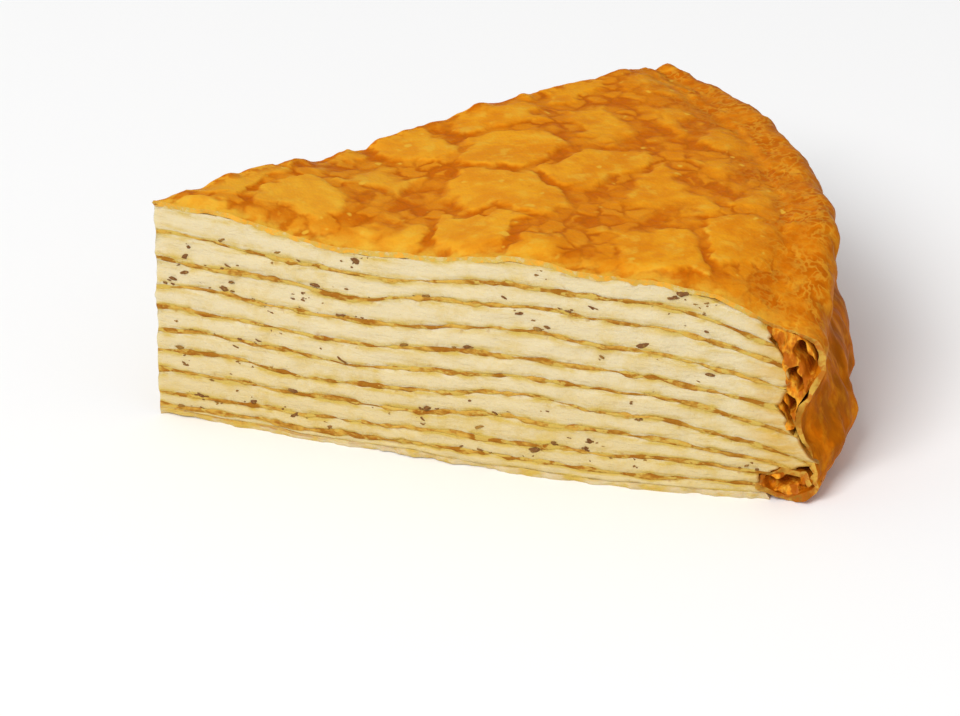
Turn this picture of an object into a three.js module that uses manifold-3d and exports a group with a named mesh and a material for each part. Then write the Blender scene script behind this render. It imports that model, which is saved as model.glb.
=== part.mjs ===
// A slice of crepe layer cake: thin crepes with cream between them, under a browned top crepe
// that rolls over the rim, hangs down the round side and is tucked under the base.
// Millimetres, +Z up. The tip of the slice points to -X and the round rim faces +X.
import * as THREE from "three";
import { mergeVertices } from "three/addons/utils/BufferGeometryUtils.js";
import Module from "manifold-3d";

// Driving dimensions of the slice
const RADIUS = 105; // from the tip to the rim
const WEDGE_ANGLE = THREE.MathUtils.degToRad(54);
const TIP_HEIGHT = 36.2;
const BACK_FALL = 0.12; // share of the height lost from the tip to the rim along the cut at +Y
const LIFT_END = 97; // the rim sags beside the cut at -Y; elsewhere it stays level out to this radius
const SHOULDER_LIFT = 4.2; // and stands higher by this around it
const SHOULDER = [95, 103];
const LIFT_WIDTH = 0.5; // share of the half width between the cuts over which the rim rises
const TIP_TAPER = 6; // proud edges fade out over this length at the tip
const CUT_BOWS = { near: 3.5, far: 1.2 }; // how far the soft cut faces at -Y and +Y bulge
const BOW_POWER = 1.3; // above 1, they bulge most beyond mid length

// The layers
const CREPE_THICKNESS = 0.9;
const CREAM_SHARES = [22, 26, 24.5, 23, 20.5, 20, 20.5, 21, 16.5, 12]; // from the top down
const SEAM = 0.15; // clear gap between neighbours
const TOP_SEAM = 0.35; // the same under the rippled top crepe
const RIM_GAP = 0.5; // clear gap between the layers' ends and the hanging crepe
const RIM_PINCH = 0.1; // the cream thins at the rim
const PINCH_POWER = 6;
const CREPE_PROUD = 0.3; // the cut crepe edges stand out from the cream

// Waves of the sheets along the cuts, which turn from sheet to sheet and from cut to cut
const RIPPLES = [
  { height: 0.9, length: 56, phase: 0.46, turnUp: 0, turnAcross: -0.55 },
  { height: 0.25, length: 23, phase: 0, turnUp: -19, turnAcross: 1.6 },
];
const RIPPLE_END = 81; // the waves die out before this radius
const RIPPLE_FADE = 22;
const FLAT_SHARES = [0.05, 0.36]; // sheets below these shares of the height lie flat, and flatter

// The sheets sag towards the rim
const SAG_START = 80;
const SHEET_SAG = 6;
const SAG_POWER = 1.25;
const TOP_SAG = 0.25; // the uppermost sheets sag more by this share
const TOP_SHARES = [0.6, 0.9];

// The rim: the layers end in a hollow, around which the top crepe rolls over and hangs down in folds
const ROLL_START = 0.715 * RADIUS;
const INNER_DROP = 12.4;
const RIM_FOLDS = 5; // thickness of the folded crepe at the side
const OUTER_ROLL = [
  [ROLL_START, TIP_HEIGHT],
  [80, 36],
  [85, 35.2],
  [90, 33.8],
  [94, 31.9],
  [96.6, 30.1],
  [99, 29],
  [101.2, 28.2],
  [103.2, 26.8],
  [104.2, 24.9],
  [104.4, 22.8],
]; // radius and height of its outside beside the cut at -Y
const WALL_FLARE = 3; // the side is wider at the foot
const WALL_RELIEF = 0.6; // blisters on the side, as a share of those on the top
const WALL_STRETCH = 3; // they are drawn out along the hang by this
const PLEAT_DEPTH = 1.5;
const PLEAT_COUNT = 5.5;
const PLEAT_TWIST = 5; // radians that the pleats drift between roll and foot
const PLEAT_BUNCHING = 2.2;
const TUCK_DEPTH = 8; // how far the hem runs in under the layers
const TUCK_HEIGHT = 8;
const TUCK_POWER = 0.75;

// Swellings of the hollow, and of the outside beside each cut, at a height
const WAIST = { depth: -2.3, z: 15.3, spread: 4 };
const FOOT = { depth: 3.5, z: 7.5, spread: 3.5 };
const CUT_PINCH = { depth: -4.4, z: 13.5, spread: 6 };
const CUT_BULGE = { depth: 1, z: 24, spread: 5 };
const FOLD_WIDTH = 0.16; // share of the half width between the cuts
const FAR_FOLD = 0.4; // the fold beside the cut at +Y is milder than the one at -Y

// Hollow loops that the knife opened in the fold, as half widths and half heights
const FOLD_POCKETS = [
  { z: 24.05, r: RADIUS - 2.6, wide: 0.8, tall: 2.2, lean: -0.45 },
  { z: 20.3, r: RADIUS - 4.1, wide: 0.8, tall: 1.9, lean: -0.2 },
  { z: 16, r: RADIUS - 4.7, wide: 0.5, tall: 1.3, lean: 0 },
  { z: 3.1, r: RADIUS - 3.5, wide: 4.2, tall: 1.6, lean: -0.15 },
];
const POCKET_DEPTH = 7;

// The browned top: pale blisters between sunken brown lace
const BLISTER_SIZE = 9;
const BLISTER_RISE = 0.75;
const BLISTER_STRAY = 0.7; // share of the size by which a centre strays in its cell
const BLISTER_REACH = 0.75;
const BLISTER_FADE = 10; // the relief fades in over this length from the tip

// Dark bits in the cream that show at the cuts
const BITS_PER_FACE = 3;
const BITS_FROM_END = 0.1; // share of the cut's length kept clear at each end
const BIT_RADIUS = [0.55, 0.95];
const BIT_SHAPE = [1.5, 0.6, 0.75];
const BIT_TILT = [0.5, 0.4]; // radians about X and Y, so that no corner lies in the cut face

// Mesh steps
const LAYER_ROWS = 18;
const ROWS_TO_BEND = 14 / LAYER_ROWS;
const BEND_RADIUS = 0.8 * RADIUS;
const LAYER_COLUMNS = 4;
const TOP_STEPS = { dome: 26, roll: 10, wall: 6, tuck: 4 };
const TOP_COLUMNS = 24;
const END_SEARCH_STEPS = 40;
const POCKET_STEPS = [10, 7]; // an odd number of rings, so that none lies in the cut face

const wasm = await Module();
wasm.setup();

const crepeBrown = new THREE.MeshStandardMaterial({ color: 0xd98518, roughness: 0.5, metalness: 0 });
const crepeEdge = new THREE.MeshStandardMaterial({ color: 0xc08a3a, roughness: 0.6, metalness: 0 });
const creamIvory = new THREE.MeshStandardMaterial({ color: 0xe8d6ae, roughness: 0.55, metalness: 0 });

const { clamp, lerp, mapLinear, smoothstep } = THREE.MathUtils;
const half = CREPE_THICKNESS / 2;

// A repeatable draw between 0 and 1 for a pair of whole numbers.
function draw(a, b) {
  const value = Math.sin(a * 127.1 + b * 311.7) * 43758.5453;
  return value - Math.floor(value);
}

// A bell curve that is 1 at zero.
function bell(distance, spread) {
  return Math.exp(-((distance / spread) ** 2));
}

// A point of the slice's plan: across runs from -1 at one cut face to 1 at the other.
function plan(r, across, z, proud = 0) {
  const bow = lerp(CUT_BOWS.near, CUT_BOWS.far, (across + 1) / 2);
  const bulge = bow * Math.sin(Math.PI * Math.min(1, r / RADIUS) ** BOW_POWER);
  const sideways = bulge + proud * Math.min(1, r / TIP_TAPER);
  const angle = across * (WEDGE_ANGLE / 2 + sideways / Math.max(r, TIP_TAPER / 2));
  const raised = droop(1, Math.min(r, LIFT_END)) + SHOULDER_LIFT * smoothstep(r, ...SHOULDER);
  const lift = raised * Math.min(1, (across + 1) / LIFT_WIDTH);
  const fall = (BACK_FALL * r * (across + 1)) / (2 * RADIUS);
  const height = z * (1 + lift / TIP_HEIGHT) * (1 - fall);
  return new THREE.Vector3(r * Math.cos(angle), r * Math.sin(angle), height);
}

// Waves of the sheet that lies at this share of the stack's height.
function ripple(share, r, across) {
  const atRim = smoothstep(r, RIPPLE_END - RIPPLE_FADE, RIPPLE_END);
  let rise = 0;
  for (const { height, length, phase, turnUp, turnAcross } of RIPPLES) {
    rise += height * Math.sin((2 * Math.PI * r) / length + phase + turnUp * share + turnAcross * across);
  }
  return rise * (1 - atRim) * smoothstep(share, ...FLAT_SHARES);
}

// The quarter round of the hollow and the roll around it
const innerWall = RADIUS - RIM_FOLDS;
const innerCentre = TIP_HEIGHT - CREPE_THICKNESS - INNER_DROP;
const outerRoll = new THREE.SplineCurve(OUTER_ROLL.map(([r, z]) => new THREE.Vector2(r, z)));
const [wallTopRadius, wallTop] = OUTER_ROLL.at(-1);

// How far the sheet at this share of the stack bends down towards the rim.
function droop(share, r) {
  if (share < 1) {
    const bend = clamp((r - SAG_START) / (RADIUS - SAG_START), 0, 1);
    const sag = SHEET_SAG * smoothstep(share, ...FLAT_SHARES) * bend ** SAG_POWER;
    return sag * (1 + TOP_SAG * smoothstep(share, ...TOP_SHARES));
  }
  const roll = clamp((r - ROLL_START) / (innerWall - ROLL_START), 0, 1);
  return INNER_DROP * (1 - Math.sqrt(1 - roll ** 2));
}

// A smooth swelling at a height.
function swell({ depth, z: middle, spread }, z) {
  return depth * bell(z - middle, spread);
}

// Radius of the hollow that the layers end in, at a height.
function innerRadius(z) {
  const folds = swell(WAIST, z) + swell(FOOT, z);
  if (z >= innerCentre) {
    const rise = Math.min(1, (z - innerCentre) / INNER_DROP);
    return ROLL_START + (innerWall - ROLL_START) * Math.sqrt(1 - rise ** 2) + folds;
  }
  return innerWall + folds - TUCK_DEPTH * Math.max(0, 1 - z / TUCK_HEIGHT) ** TUCK_POWER;
}

// Radius of the hanging crepe's outside at a height, without its folds and pleats.
function hangRadius(z) {
  return wallTopRadius + WALL_FLARE * (1 - z / wallTop);
}

// Where a sheet of the stack, raised by an offset, ends against the hollow of the top crepe.
function sheetEnd(share, offset) {
  let low = RADIUS / 2;
  let high = RADIUS + WALL_FLARE;
  for (let step = 0; step < END_SEARCH_STEPS; step++) {
    const r = (low + high) / 2;
    const room = innerRadius(share * TIP_HEIGHT - droop(share, r) + offset);
    if (r < room - RIM_GAP) low = r;
    else high = r;
  }
  return low;
}

// A closed solid between two surfaces over one grid: rows from the tip, columns between the cuts.
function slab(upper, lower, rows, columns) {
  const points = [upper(0, 0), lower(0, 0)];
  for (let row = 1; row <= rows; row++) {
    for (let column = 0; column <= columns; column++) {
      const across = (2 * column) / columns - 1;
      points.push(upper(row / rows, across), lower(row / rows, across));
    }
  }
  const at = (row, column, under) => {
    if (row === 0) return under;
    return 2 + 2 * ((row - 1) * (columns + 1) + column) + under;
  };
  const triangles = [];
  const quad = (a, b, c, d) => {
    if (a !== b) triangles.push(a, b, c);
    if (c !== d && a !== d) triangles.push(a, c, d);
  };
  for (let row = 0; row < rows; row++) {
    for (let column = 0; column < columns; column++) {
      quad(at(row, column, 0), at(row + 1, column, 0), at(row + 1, column + 1, 0), at(row, column + 1, 0));
      quad(at(row, column, 1), at(row, column + 1, 1), at(row + 1, column + 1, 1), at(row + 1, column, 1));
    }
    quad(at(row, 0, 1), at(row + 1, 0, 1), at(row + 1, 0, 0), at(row, 0, 0));
    quad(at(row, columns, 0), at(row + 1, columns, 0), at(row + 1, columns, 1), at(row, columns, 1));
  }
  for (let column = 0; column < columns; column++) {
    quad(at(rows, column, 0), at(rows, column, 1), at(rows, column + 1, 1), at(rows, column + 1, 0));
  }
  const geometry = new THREE.BufferGeometry().setFromPoints(points);
  geometry.setIndex(triangles);
  return geometry;
}

function toSolid(geometry) {
  const bare = geometry.clone();
  bare.deleteAttribute("normal");
  bare.deleteAttribute("uv");
  const merged = mergeVertices(bare, 1e-4);
  const mesh = new wasm.Mesh({
    numProp: 3,
    vertProperties: new Float32Array(merged.attributes.position.array),
    triVerts: new Uint32Array(merged.index.array),
  });
  return new wasm.Manifold(mesh);
}

function toGeometry(solid) {
  const mesh = solid.getMesh();
  const geometry = new THREE.BufferGeometry();
  geometry.setAttribute("position", new THREE.BufferAttribute(mesh.vertProperties, 3));
  geometry.setIndex(new THREE.BufferAttribute(mesh.triVerts, 1));
  return geometry;
}

// Radius of a row of the stack's grid: shared by all sheets up to the bend, then spread to the sheet's end.
function rowRadius(along, end) {
  if (along <= ROWS_TO_BEND) return (along / ROWS_TO_BEND) * BEND_RADIUS;
  return mapLinear(along, ROWS_TO_BEND, 1, BEND_RADIUS, end);
}

// One sheet surface of the stack, raised by an offset along Z, and by a pinch more at the rim.
function sheet(share, offset, { proud = 0, pinch = 0 }) {
  const end = Math.min(sheetEnd(share, offset), sheetEnd(share, offset + pinch));
  return (along, across) => {
    const r = rowRadius(along, end);
    const raised = offset + pinch * along ** PINCH_POWER;
    const z = share * TIP_HEIGHT - droop(share, r) + ripple(share, r, across) + raised;
    return plan(r, across, z, proud);
  };
}

// A level surface of the stack, out to the tucked hem.
function floorSheet(offset, { proud = 0 }) {
  const end = innerRadius(offset) - RIM_GAP;
  return (along, across) => plan(rowRadius(along, end), across, offset, proud);
}

// Shares of the stack's height at the crepes' middles, from the base up to the top crepe.
function crepeShares() {
  const total = CREAM_SHARES.reduce((sum, share) => sum + share, 0);
  const span = 1 - CREPE_THICKNESS / TIP_HEIGHT;
  const shares = [half / TIP_HEIGHT];
  for (const share of [...CREAM_SHARES].reverse()) shares.push(shares.at(-1) + (span * share) / total);
  return shares;
}

// Rise of the browned top at a point: rounded blisters over a scattered grid of centres.
function blister(x, y) {
  const column = Math.floor(x / BLISTER_SIZE);
  const row = Math.floor(y / BLISTER_SIZE);
  const margin = (1 - BLISTER_STRAY) / 2;
  let nearest = Infinity;
  for (let i = column - 1; i <= column + 1; i++) {
    for (let j = row - 1; j <= row + 1; j++) {
      const dx = x - (i + margin + BLISTER_STRAY * draw(i, j)) * BLISTER_SIZE;
      const dy = y - (j + margin + BLISTER_STRAY * draw(j + 50, i)) * BLISTER_SIZE;
      nearest = Math.min(nearest, Math.hypot(dx, dy));
    }
  }
  return BLISTER_RISE * Math.max(0, 1 - (nearest / (BLISTER_REACH * BLISTER_SIZE)) ** 2);
}

// How near a point between the cuts is to one of them, from 0 to 1.
function besideCuts(across) {
  return bell(1 + across, FOLD_WIDTH) + FAR_FOLD * bell(1 - across, FOLD_WIDTH);
}

// Outward waves of the hanging crepe, deeper towards the foot, and its fold beside the cuts.
function pleat(z, across) {
  const hang = clamp(1 - z / wallTop, 0, 1);
  const drift = PLEAT_TWIST * hang + PLEAT_BUNCHING * Math.sin(3 * across);
  const wave = 0.5 + 0.5 * Math.sin(PLEAT_COUNT * Math.PI * across + drift);
  const fold = swell(CUT_BULGE, z) + swell(CUT_PINCH, z);
  return PLEAT_DEPTH * wave * hang + fold * besideCuts(across);
}

// Each stretch of the top crepe gives a point at t from 0 to 1 along it, on its outer or inner face.
const topStretches = {
  dome(t, across, outside) {
    const r = t * ROLL_START;
    const inside = TIP_HEIGHT - CREPE_THICKNESS + ripple(1, r, across);
    if (!outside) return plan(r, across, inside, CREPE_PROUD);
    const { x, y } = plan(r, across, 0);
    const rise = blister(x, y) * Math.min(1, r / BLISTER_FADE);
    return plan(r, across, inside + CREPE_THICKNESS + rise, CREPE_PROUD);
  },
  roll(t, across, outside) {
    if (!outside) {
      const z = innerCentre + INNER_DROP * Math.cos((t * Math.PI) / 2);
      return plan(innerRadius(z), across, z, CREPE_PROUD);
    }
    const point = outerRoll.getPointAt(t);
    const heading = outerRoll.getTangentAt(t);
    const { x, y } = plan(point.x, across, 0);
    const rise = blister(x, y) + pleat(point.y, across) * t;
    return plan(point.x - rise * heading.y, across, point.y + rise * heading.x, CREPE_PROUD);
  },
  wall(t, across, outside) {
    if (!outside) {
      const z = lerp(innerCentre, TUCK_HEIGHT, t);
      return plan(innerRadius(z), across, z, CREPE_PROUD);
    }
    const z = lerp(wallTop, TUCK_HEIGHT, t);
    const arc = (across * WEDGE_ANGLE * RADIUS) / 2;
    const rise = pleat(z, across) + blister(WALL_STRETCH * z, arc) * WALL_RELIEF;
    return plan(hangRadius(z) + rise, across, z, CREPE_PROUD);
  },
  tuck(t, across, outside) {
    if (!outside) {
      const z = lerp(TUCK_HEIGHT, CREPE_THICKNESS, t);
      return plan(innerRadius(z), across, z, CREPE_PROUD);
    }
    const foot = hangRadius(0) + pleat(0, across);
    const r = lerp(foot, innerRadius(CREPE_THICKNESS), Math.max(0, 2 * t - 1));
    return plan(r, across, TUCK_HEIGHT * Math.max(0, 1 - 2 * t), CREPE_PROUD);
  },
};

const topRows = Object.values(TOP_STEPS).reduce((sum, steps) => sum + steps, 0);

// One face of the top crepe, from the tip over the roll and down to the hem.
function topFace(outside) {
  return (along, across) => {
    let row = Math.round(along * topRows);
    for (const [name, steps] of Object.entries(TOP_STEPS)) {
      if (row <= steps) return topStretches[name](row / steps, across, outside);
      row -= steps;
    }
  };
}

function foldPocket({ z, r, wide, tall, lean }, side) {
  const pocket = new THREE.SphereGeometry(1, ...POCKET_STEPS);
  pocket.scale(wide, POCKET_DEPTH, tall);
  pocket.rotateY(lean);
  pocket.rotateZ((side * WEDGE_ANGLE) / 2);
  const centre = plan(r, side, z, CREPE_PROUD);
  pocket.translate(centre.x, centre.y, centre.z);
  return toSolid(pocket);
}

function topCrepe() {
  let solid = toSolid(slab(topFace(true), topFace(false), topRows, TOP_COLUMNS));
  for (const side of [-1, 1]) {
    for (const pocket of FOLD_POCKETS) solid = solid.subtract(foldPocket(pocket, side));
  }
  return toGeometry(solid);
}

// Dark bits half sunk in the two cut faces of one cream layer.
function withBits(geometry, layer, upper, lower) {
  let solid = toSolid(geometry);
  for (const side of [-1, 1]) {
    for (let bit = 0; bit < BITS_PER_FACE; bit++) {
      const seed = 10 * layer + 2 * bit + (side > 0 ? 1 : 0);
      const along = BITS_FROM_END + ((1 - 2 * BITS_FROM_END) * (bit + draw(seed, 1))) / BITS_PER_FACE;
      const top = upper(along, side);
      const bottom = lower(along, side);
      const size = Math.min(lerp(...BIT_RADIUS, draw(seed, 2)), (top.z - bottom.z) / 2);
      const lump = new THREE.OctahedronGeometry(size);
      lump.scale(...BIT_SHAPE);
      lump.rotateX(BIT_TILT[0]);
      lump.rotateY(BIT_TILT[1]);
      lump.rotateZ((side * WEDGE_ANGLE) / 2);
      lump.translate(...top.lerp(bottom, 0.5));
      solid = solid.add(toSolid(lump));
    }
  }
  return toGeometry(solid);
}

const cake = new THREE.Group();

function addPiece(name, geometry, material) {
  geometry.computeVertexNormals();
  const mesh = new THREE.Mesh(geometry, material);
  mesh.name = name;
  cake.add(mesh);
}

const twoDigits = (number) => String(number).padStart(2, "0");
const shares = crepeShares().reverse();

addPiece("crepe_top", topCrepe(), crepeBrown);

const cutEdge = { proud: CREPE_PROUD };
const baseUpper = floorSheet(CREPE_THICKNESS, cutEdge);
const baseLower = floorSheet(0, cutEdge);
addPiece("crepe_base", slab(baseUpper, baseLower, LAYER_ROWS, LAYER_COLUMNS), crepeEdge);

for (let layer = 1; layer < shares.length - 1; layer++) {
  const upper = sheet(shares[layer], half, cutEdge);
  const lower = sheet(shares[layer], -half, cutEdge);
  addPiece("crepe_" + twoDigits(layer), slab(upper, lower, LAYER_ROWS, LAYER_COLUMNS), crepeEdge);
}

for (let layer = 0; layer < CREAM_SHARES.length; layer++) {
  const underTop = layer === 0;
  const onBase = layer === CREAM_SHARES.length - 1;
  const down = { pinch: -RIM_PINCH };
  const up = { pinch: RIM_PINCH };
  const upper = underTop
    ? sheet(1, -CREPE_THICKNESS - TOP_SEAM, down)
    : sheet(shares[layer], -half - SEAM, down);
  const lower = onBase ? floorSheet(CREPE_THICKNESS + SEAM, up) : sheet(shares[layer + 1], half + SEAM, up);
  const geometry = slab(upper, lower, LAYER_ROWS, LAYER_COLUMNS);
  addPiece("cream_" + twoDigits(layer + 1), withBits(geometry, layer, upper, lower), creamIvory);
}

// The origin is at the middle of the slice's box, on the surface that it stands on.
const box = new THREE.Box3().setFromObject(cake);
cake.position.set(-(box.min.x + box.max.x) / 2, -(box.min.y + box.max.y) / 2, -box.min.z);

export default cake;
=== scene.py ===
"""Looks of a slice of crepe layer cake: the layers, the browned top, the folded rim and the stage.

The file is laid out as a Blender add-on and is run as a script.
"""

import math

import bpy
import numpy as np
from bpy.props import FloatProperty, FloatVectorProperty, IntProperty, PointerProperty
from mathutils import Euler, Matrix, Vector


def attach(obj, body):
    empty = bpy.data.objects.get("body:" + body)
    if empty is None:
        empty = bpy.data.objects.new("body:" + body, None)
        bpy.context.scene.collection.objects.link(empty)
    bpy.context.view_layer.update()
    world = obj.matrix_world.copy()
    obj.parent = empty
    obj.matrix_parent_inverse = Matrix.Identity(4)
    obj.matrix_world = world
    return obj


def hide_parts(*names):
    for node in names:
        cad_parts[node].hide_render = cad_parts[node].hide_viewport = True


bl_info = {
    "name": "Crepe cake slice",
    "version": (1, 0, 0),
    "blender": (4, 5, 0),
    "location": "3D View > Sidebar > Crepe cake",
    "description": "Models the layers, the browned top crepe and the folded rim of a slice of crepe cake",
    "category": "Object",
}

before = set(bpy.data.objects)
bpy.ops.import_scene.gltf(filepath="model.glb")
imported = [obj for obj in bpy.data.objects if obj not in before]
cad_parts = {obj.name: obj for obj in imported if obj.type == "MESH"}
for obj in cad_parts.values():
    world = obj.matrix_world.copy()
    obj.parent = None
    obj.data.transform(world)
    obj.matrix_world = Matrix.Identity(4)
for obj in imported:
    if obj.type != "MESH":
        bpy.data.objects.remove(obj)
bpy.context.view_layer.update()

MM = 0.001

# The slice, with the sizes of its solids
RADIUS = 105 * MM
WEDGE_ANGLE = math.radians(54)
TIP_HEIGHT = 36.2 * MM
TIP_TAPER = 6 * MM
NEAR_BOW = 3.5 * MM
FAR_BOW = 1.2 * MM
BOW_POWER = 1.3
BACK_FALL = 0.12
LIFT_END = 97 * MM
LIFT_WIDTH = 0.5
SHOULDER_LIFT = 4.2 * MM
SHOULDER = (95 * MM, 103 * MM)
CREPE_THICKNESS = 0.9 * MM
CREAM_SHARES = (22, 26, 24.5, 23, 20.5, 20, 20.5, 21, 16.5, 12)

# The top beside the cuts: waves of its far corner and a dip of its near edge, with middle, spread and depth
CORNER_WAVES = ((92.5 * MM, 5 * MM, -0.018), (99.5 * MM, 2 * MM, 0.032))
CORNER_ACROSS = (0.5, 1.0)
EDGE_DIP = (34 * MM, 7 * MM, 1 * MM)
EDGE_ROUND = 0.85 * MM
EDGE_WIDTH = 2.5 * MM
EDGE_DIP_WIDTH = 2.5 * EDGE_WIDTH
EDGE_START = 7 * MM
LUMP_HEIGHT = 0.4 * MM

# The tip: how far the crepes sag there, and how ragged its edge is
TIP_SAG = 1.6 * MM
TIP_SAG_END = 58 * MM
TIP_SAG_SHARES = (0.0, 0.14)
FIRST_CREPE_DROP = 0.8 * MM
FIRST_CREPE_START = 30 * MM
TIP_WANDER = 0.22 * MM
TIP_SPREAD = 3 * MM
TIP_MERGE = 0.01 * MM

# Waves of the sheets along the cuts
RIPPLES = (
    {"height": 0.9 * MM, "length": 56 * MM, "phase": 0.46, "turn_up": 0.0, "turn_across": -0.55},
    {"height": 0.25 * MM, "length": 23 * MM, "phase": 0.0, "turn_up": -19.0, "turn_across": 1.6},
)
RIPPLE_FADE = 22 * MM
RIPPLE_END = 81 * MM
FLAT_SHARES = (0.05, 0.36)
SAG_START = 80 * MM
SHEET_SAG = 6 * MM
SAG_POWER = 1.25
TOP_SAG = 0.25
TOP_SHARES = (0.6, 0.9)

# Ends of the layers at the rim
CREAM_END_WANDER = 0.6 * MM
CREPE_END_WANDER = 0.2 * MM
END_CLEARANCE = 1.2 * MM
END_WIDTH = 0.16
END_START = 0.93
END_FACE = 0.995
END_LUMP = 1.3 * MM
END_ARC = 40 * MM
END_DEPTH = 3.5 * MM

# Random waves of the shapes, each as seed, height or share, and length
EDGE_LUMPS = ((68, 1.0, 4.5 * MM), (69, 0.5, 1.8 * MM))
TIP_LUMPS = ((90, 1.0, 2.6 * MM), (91, 0.5, 0.9 * MM))
TOP_SMEAR = ((41, 0.2 * MM, 3 * MM), (43, 0.12 * MM, 1.2 * MM))
CREPE_WANDER = ((100, 1.0, 8 * MM), (102, 0.5, 2.4 * MM))
CREPE_SWELLING = ((104, 0.35, 5 * MM), (106, 0.36, 1.3 * MM))
CREPE_REACH = ((700, 0.16 * MM, 3.2 * MM), (702, 0.08 * MM, 0.9 * MM))
BASE_LIFT = ((31, 0.6 * MM, 13 * MM),)
BASE_SWELLING = ((33, 0.35, 6 * MM),)
EDGE_FRAY = ((61, 0.14 * MM, 2.3 * MM), (62, 0.07 * MM, 0.9 * MM))
EDGE_SWELLING = ((70, 1.0, 3.2 * MM), (71, 0.6, 1.4 * MM))
LIP_WAVES = ((63, 1.3 * MM, 2 * MM),)
HEM_WAVES = ((66, 0.7 * MM, 2.4 * MM), (67, 0.5 * MM, 2 * MM))
HEM_ARC = 50 * MM
CREPE_SEEDS = 10
CREAM_SEEDS = 20

# The cut faces of the cream: its marks as kind, seed, stretch, length and height, and how it swells
CREAM_MARKS = (
    ("strokes", 400, 0.45, 1.6 * MM, 0.10 * MM),
    ("dabs", 401, 1.0, 3.5 * MM, 0.14 * MM),
    ("grains", 402, 1.0, 0.8 * MM, 0.05 * MM),
)
CREAM_END_SEED = 500
CREAM_LAP = 0.04 * MM
USUAL_BULGE = 0.7
DAB_BULGE = 0.5
EDGE_ROUGHNESS = 0.3
FAR_CUT_SHIFT = 0.05
TOP_SMEAR_DROP = 0.15 * MM
TOP_SMEAR_WIDTH = 0.05

# The cut edges of the crepes
CREPE_END_SEED = 520
CREPE_FULLNESS = 0.75
CREPE_PROUD = 0.1 * MM
CREPE_ROUNDING = 0.12 * MM
BASE_RAGGEDNESS = 2.5
BASE_FULLNESS = 1.1
BASE_LIFT_END = (90 * MM, 40 * MM)

# The rim: the hollow that the layers end in, and the crepe that rolls over and hangs down around it
ROLL_START = 0.715 * RADIUS
INNER_DROP = 12.4 * MM
INNER_WALL = RADIUS - 5 * MM
WALL_FLARE = 3 * MM
WALL_FOOT = 7 * MM
ROLL_LENGTH = 35 * MM
HEM_LENGTH = 30 * MM
PLEAT_DEPTH = 1.5 * MM
PLEAT_COUNT = 5.5
PLEAT_TWIST = 5.0
PLEAT_BUNCHING = 2.2
PLEAT_BUNCHES = 3.0
FOLD_WIDTH = 0.16
FAR_FOLD = 0.4
SLOPE_STEP = 0.01

# Swellings of the hanging crepe, with depth, middle and spread
CUT_PINCH = (-4.4 * MM, 13.5 * MM, 6 * MM)
CUT_BULGE = (1.0 * MM, 24 * MM, 5 * MM)
SIDE_HOLLOW = (-3.3 * MM, 18.5 * MM, 5 * MM)
SIDE_HOLLOW_ACROSS = (-0.45, 0.3)

# Where the top crepe changes, on the way from the tip over the roll and down the side
PALE_TIP_RUN = (72 * MM, 15 * MM)
LOOSE_RUN = (80 * MM, 118 * MM)
RIM_RUN = (84 * MM, 106 * MM)
FOLD_RUN = (92 * MM, 102 * MM)
SIDE_RUN = (100 * MM, 118 * MM)
RELIEF_START = 10 * MM
LACE_DEPTH = 0.6

# The top crepe's crumples, as seed, share, stretch and length, and its edges
CREPE_CRUMPLES = ((64, 1.0, 1.0, 7 * MM), (65, 0.6, 0.6, 2.8 * MM), (72, 0.3, 1.0, 1.7 * MM))
CRUMPLE_RISE = 0.35
HEM_CALM = 0.5
SIDE_CALM = 0.35
CUT_EDGE = 0.04
CUT_STRIP = 2 * MM
FAR_EDGE_SHIFT = 0.1
TOP_PROUD = 0.08 * MM
FOLD_FRAY = 2.0
HEM_LIP = 0.4 * MM
USUAL_WEIGHT = 0.64
WEIGHT_LIMITS = (0.3, 1.0)
TOP_UNEVEN = 0.1
FOLD_UNEVEN = 0.22
INSIDE_KEPT = 0.58
FLOOR_GAP = 0.05 * MM

# Sections beside the near cut, as radius and height in millimetres: the roll of the top crepe,
# its hem that is tucked under, the folds inside the rim and the flap, and the ends of the layers
ROLL_SECTION = (
    (75.1, 36.2), (80.0, 36.0), (85.0, 35.2), (90.0, 33.8), (94.0, 31.9), (96.6, 30.1),
    (99.0, 29.0), (101.2, 28.2), (103.2, 26.8), (104.2, 24.9), (104.4, 22.8),
)
HEM_SECTION = (
    (106.5, 7.0), (106.2, 4.6), (105.3, 2.4), (103.6, 0.8), (101.9, 0.2), (99.3, 0.2), (96.6, 1.1),
    (95.2, 2.7), (96.2, 4.2), (98.0, 5.2), (100.0, 5.7), (102.0, 5.3), (103.7, 4.3),
)
FOLD_INSIDE = (
    (95.9, 29.0), (96.9, 27.2), (98.1, 24.8), (98.7, 22.4), (98.7, 20.4),
    (98.2, 18.4), (97.6, 16.4), (98.3, 14.5), (99.4, 12.2),
)
FOLD_OUTSIDE = (
    (98.7, 28.5), (101.0, 27.6), (102.7, 26.2), (103.5, 24.4), (103.6, 22.6),
    (103.4, 20.4), (102.0, 18.0), (100.9, 15.8), (100.6, 12.4),
)
FLAP_LOW = ((95.9, 2.8), (96.9, 1.8), (99.3, 1.0), (101.9, 1.0), (103.4, 1.6), (104.9, 3.2))
FLAP_HIGH = ((96.0, 3.0), (96.9, 4.0), (98.3, 4.7), (100.0, 5.0), (102.0, 4.7), (104.9, 3.6))
LAYER_ENDS = (
    (97.2, 0.0), (96.3, 1.1), (95.0, 2.6), (96.0, 4.3), (98.4, 5.4), (102.6, 6.4), (104.2, 7.2),
    (103.6, 8.4), (102.4, 9.6), (101.0, 11.1), (100.3, 12.1), (98.5, 14.6), (97.5, 16.2),
    (98.3, 17.2), (99.0, 18.4), (99.5, 20.4), (99.5, 22.4), (98.9, 24.6), (97.9, 26.6),
    (96.9, 28.4), (96.2, 36.2),
)

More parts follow.
